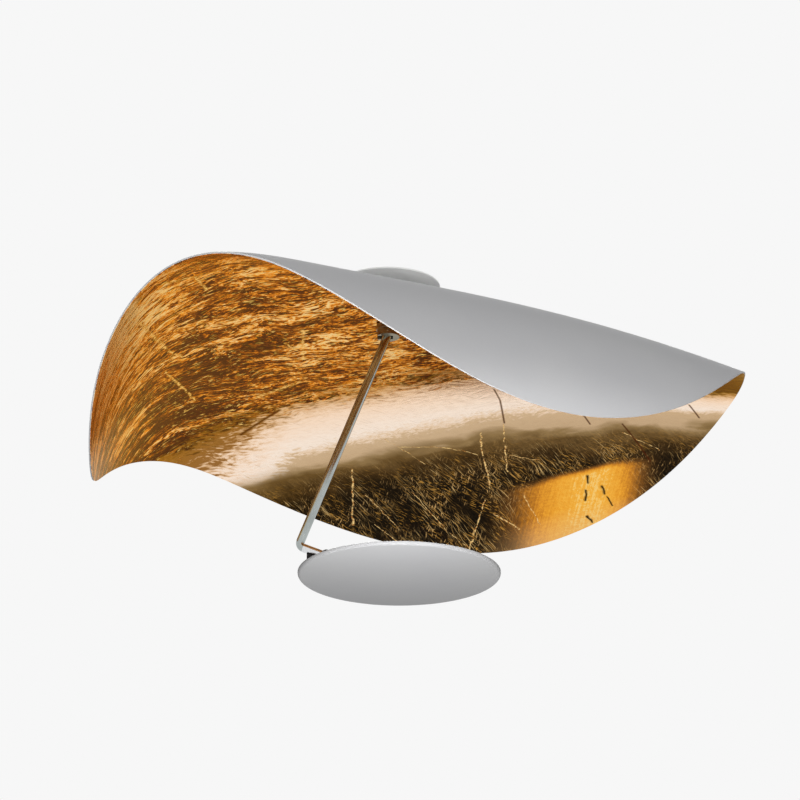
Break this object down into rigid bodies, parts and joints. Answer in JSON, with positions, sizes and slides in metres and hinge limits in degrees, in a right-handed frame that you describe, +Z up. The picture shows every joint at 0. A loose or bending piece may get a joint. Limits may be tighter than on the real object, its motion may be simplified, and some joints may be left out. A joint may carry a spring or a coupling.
{
  "type": "leaf-shaped led ceiling light",
  "caption": "Ceiling light with a leaf-like rolled sheet shade, gold inside, over a level lit disc on a leaning, swivelling rod.",
  "frame": {"origin": "middle of the ceiling face of the rose, on the stem's axis", "axes": "+Z up, away from the room and into the ceiling; -Y toward the viewer of the picture; +X to the viewer's right, so that the rod leans toward -X"},
  "size_m": [0.5496, 0.5675, 0.2498],
  "materials": {
    "strap_steel": "zinc-plated steel",
    "rose_paint": "light grey satin paint on steel",
    "steel": "nickel-plated steel",
    "washer_paint": "light grey satin paint on steel",
    "felt": "pressed wool felt",
    "sheet_paint": "light grey satin paint on aluminium sheet",
    "gold_leaf": "hand-laid gold leaf under clear lacquer",
    "nylon": "natural nylon",
    "hub_nickel": "satin nickel",
    "rod_chrome": "polished nickel-chrome tube",
    "arm_chrome": "polished chrome tube",
    "black_metal": "black satin paint on steel",
    "cable_white": "white cable sheath",
    "disc_paint": "grey satin paint on turned aluminium",
    "board_white": "white solder mask on aluminium board",
    "led_yellow": "phosphor-coated led",
    "opal": "opal acrylic",
    "rubber_black": "black rubber"
  },
  "bodies": {
    "ceiling": {"ceiling_strap": "strap_steel", "rose_cover": "rose_paint", "rose_nut": "steel", "stem": "steel", "spacer_sleeve": "rose_paint", "shade_washer": "washer_paint", "felt_washers": "felt", "shade_sheet": "sheet_paint", "leaf_lining": "gold_leaf", "shade_nut": "steel", "thrust_washer": "nylon", "lock_ring": "steel", "stem_cable": "cable_white"},
    "hub": {"hub_cup": "hub_nickel", "hub_fork": "hub_nickel", "pivot_pins": "steel"},
    "arm": {"rod_tube": "rod_chrome", "elbow": "rod_chrome", "arm_tube": "arm_chrome", "arm_plug": "steel", "rod_cable": "cable_white"},
    "disc": {"tilt_bracket": "black_metal", "tilt_screw": "steel", "bracket_screws": "steel", "disc_dish": "disc_paint", "disc_frame": "disc_paint", "frame_screws": "steel", "led_board": "board_white", "leds": "led_yellow", "board_screws": "steel", "board_connector": "nylon", "diffuser": "opal", "retaining_ring": "disc_paint", "ring_screws": "steel", "cable_grommet": "rubber_black", "disc_lead": "cable_white"}
  },
  "joints": [
    {"name": "hub_turn", "type": "hinge", "parent": "ceiling", "child": "hub", "pos_m": [0, 0, -0.0365], "axis": [0, 0, 1], "range_deg": [-170, 170]},
    {"name": "rod_swing", "type": "hinge", "parent": "hub", "child": "arm", "pos_m": [0, 0, -0.0419], "axis": [0, 1, 0], "range_deg": [-21.3, 23.7]},
    {"name": "disc_tilt", "type": "hinge", "parent": "arm", "child": "disc", "pos_m": [-0.04884, 0, -0.23323], "axis": [0, 1, 0], "range_deg": [-24, 0]}
  ]
}
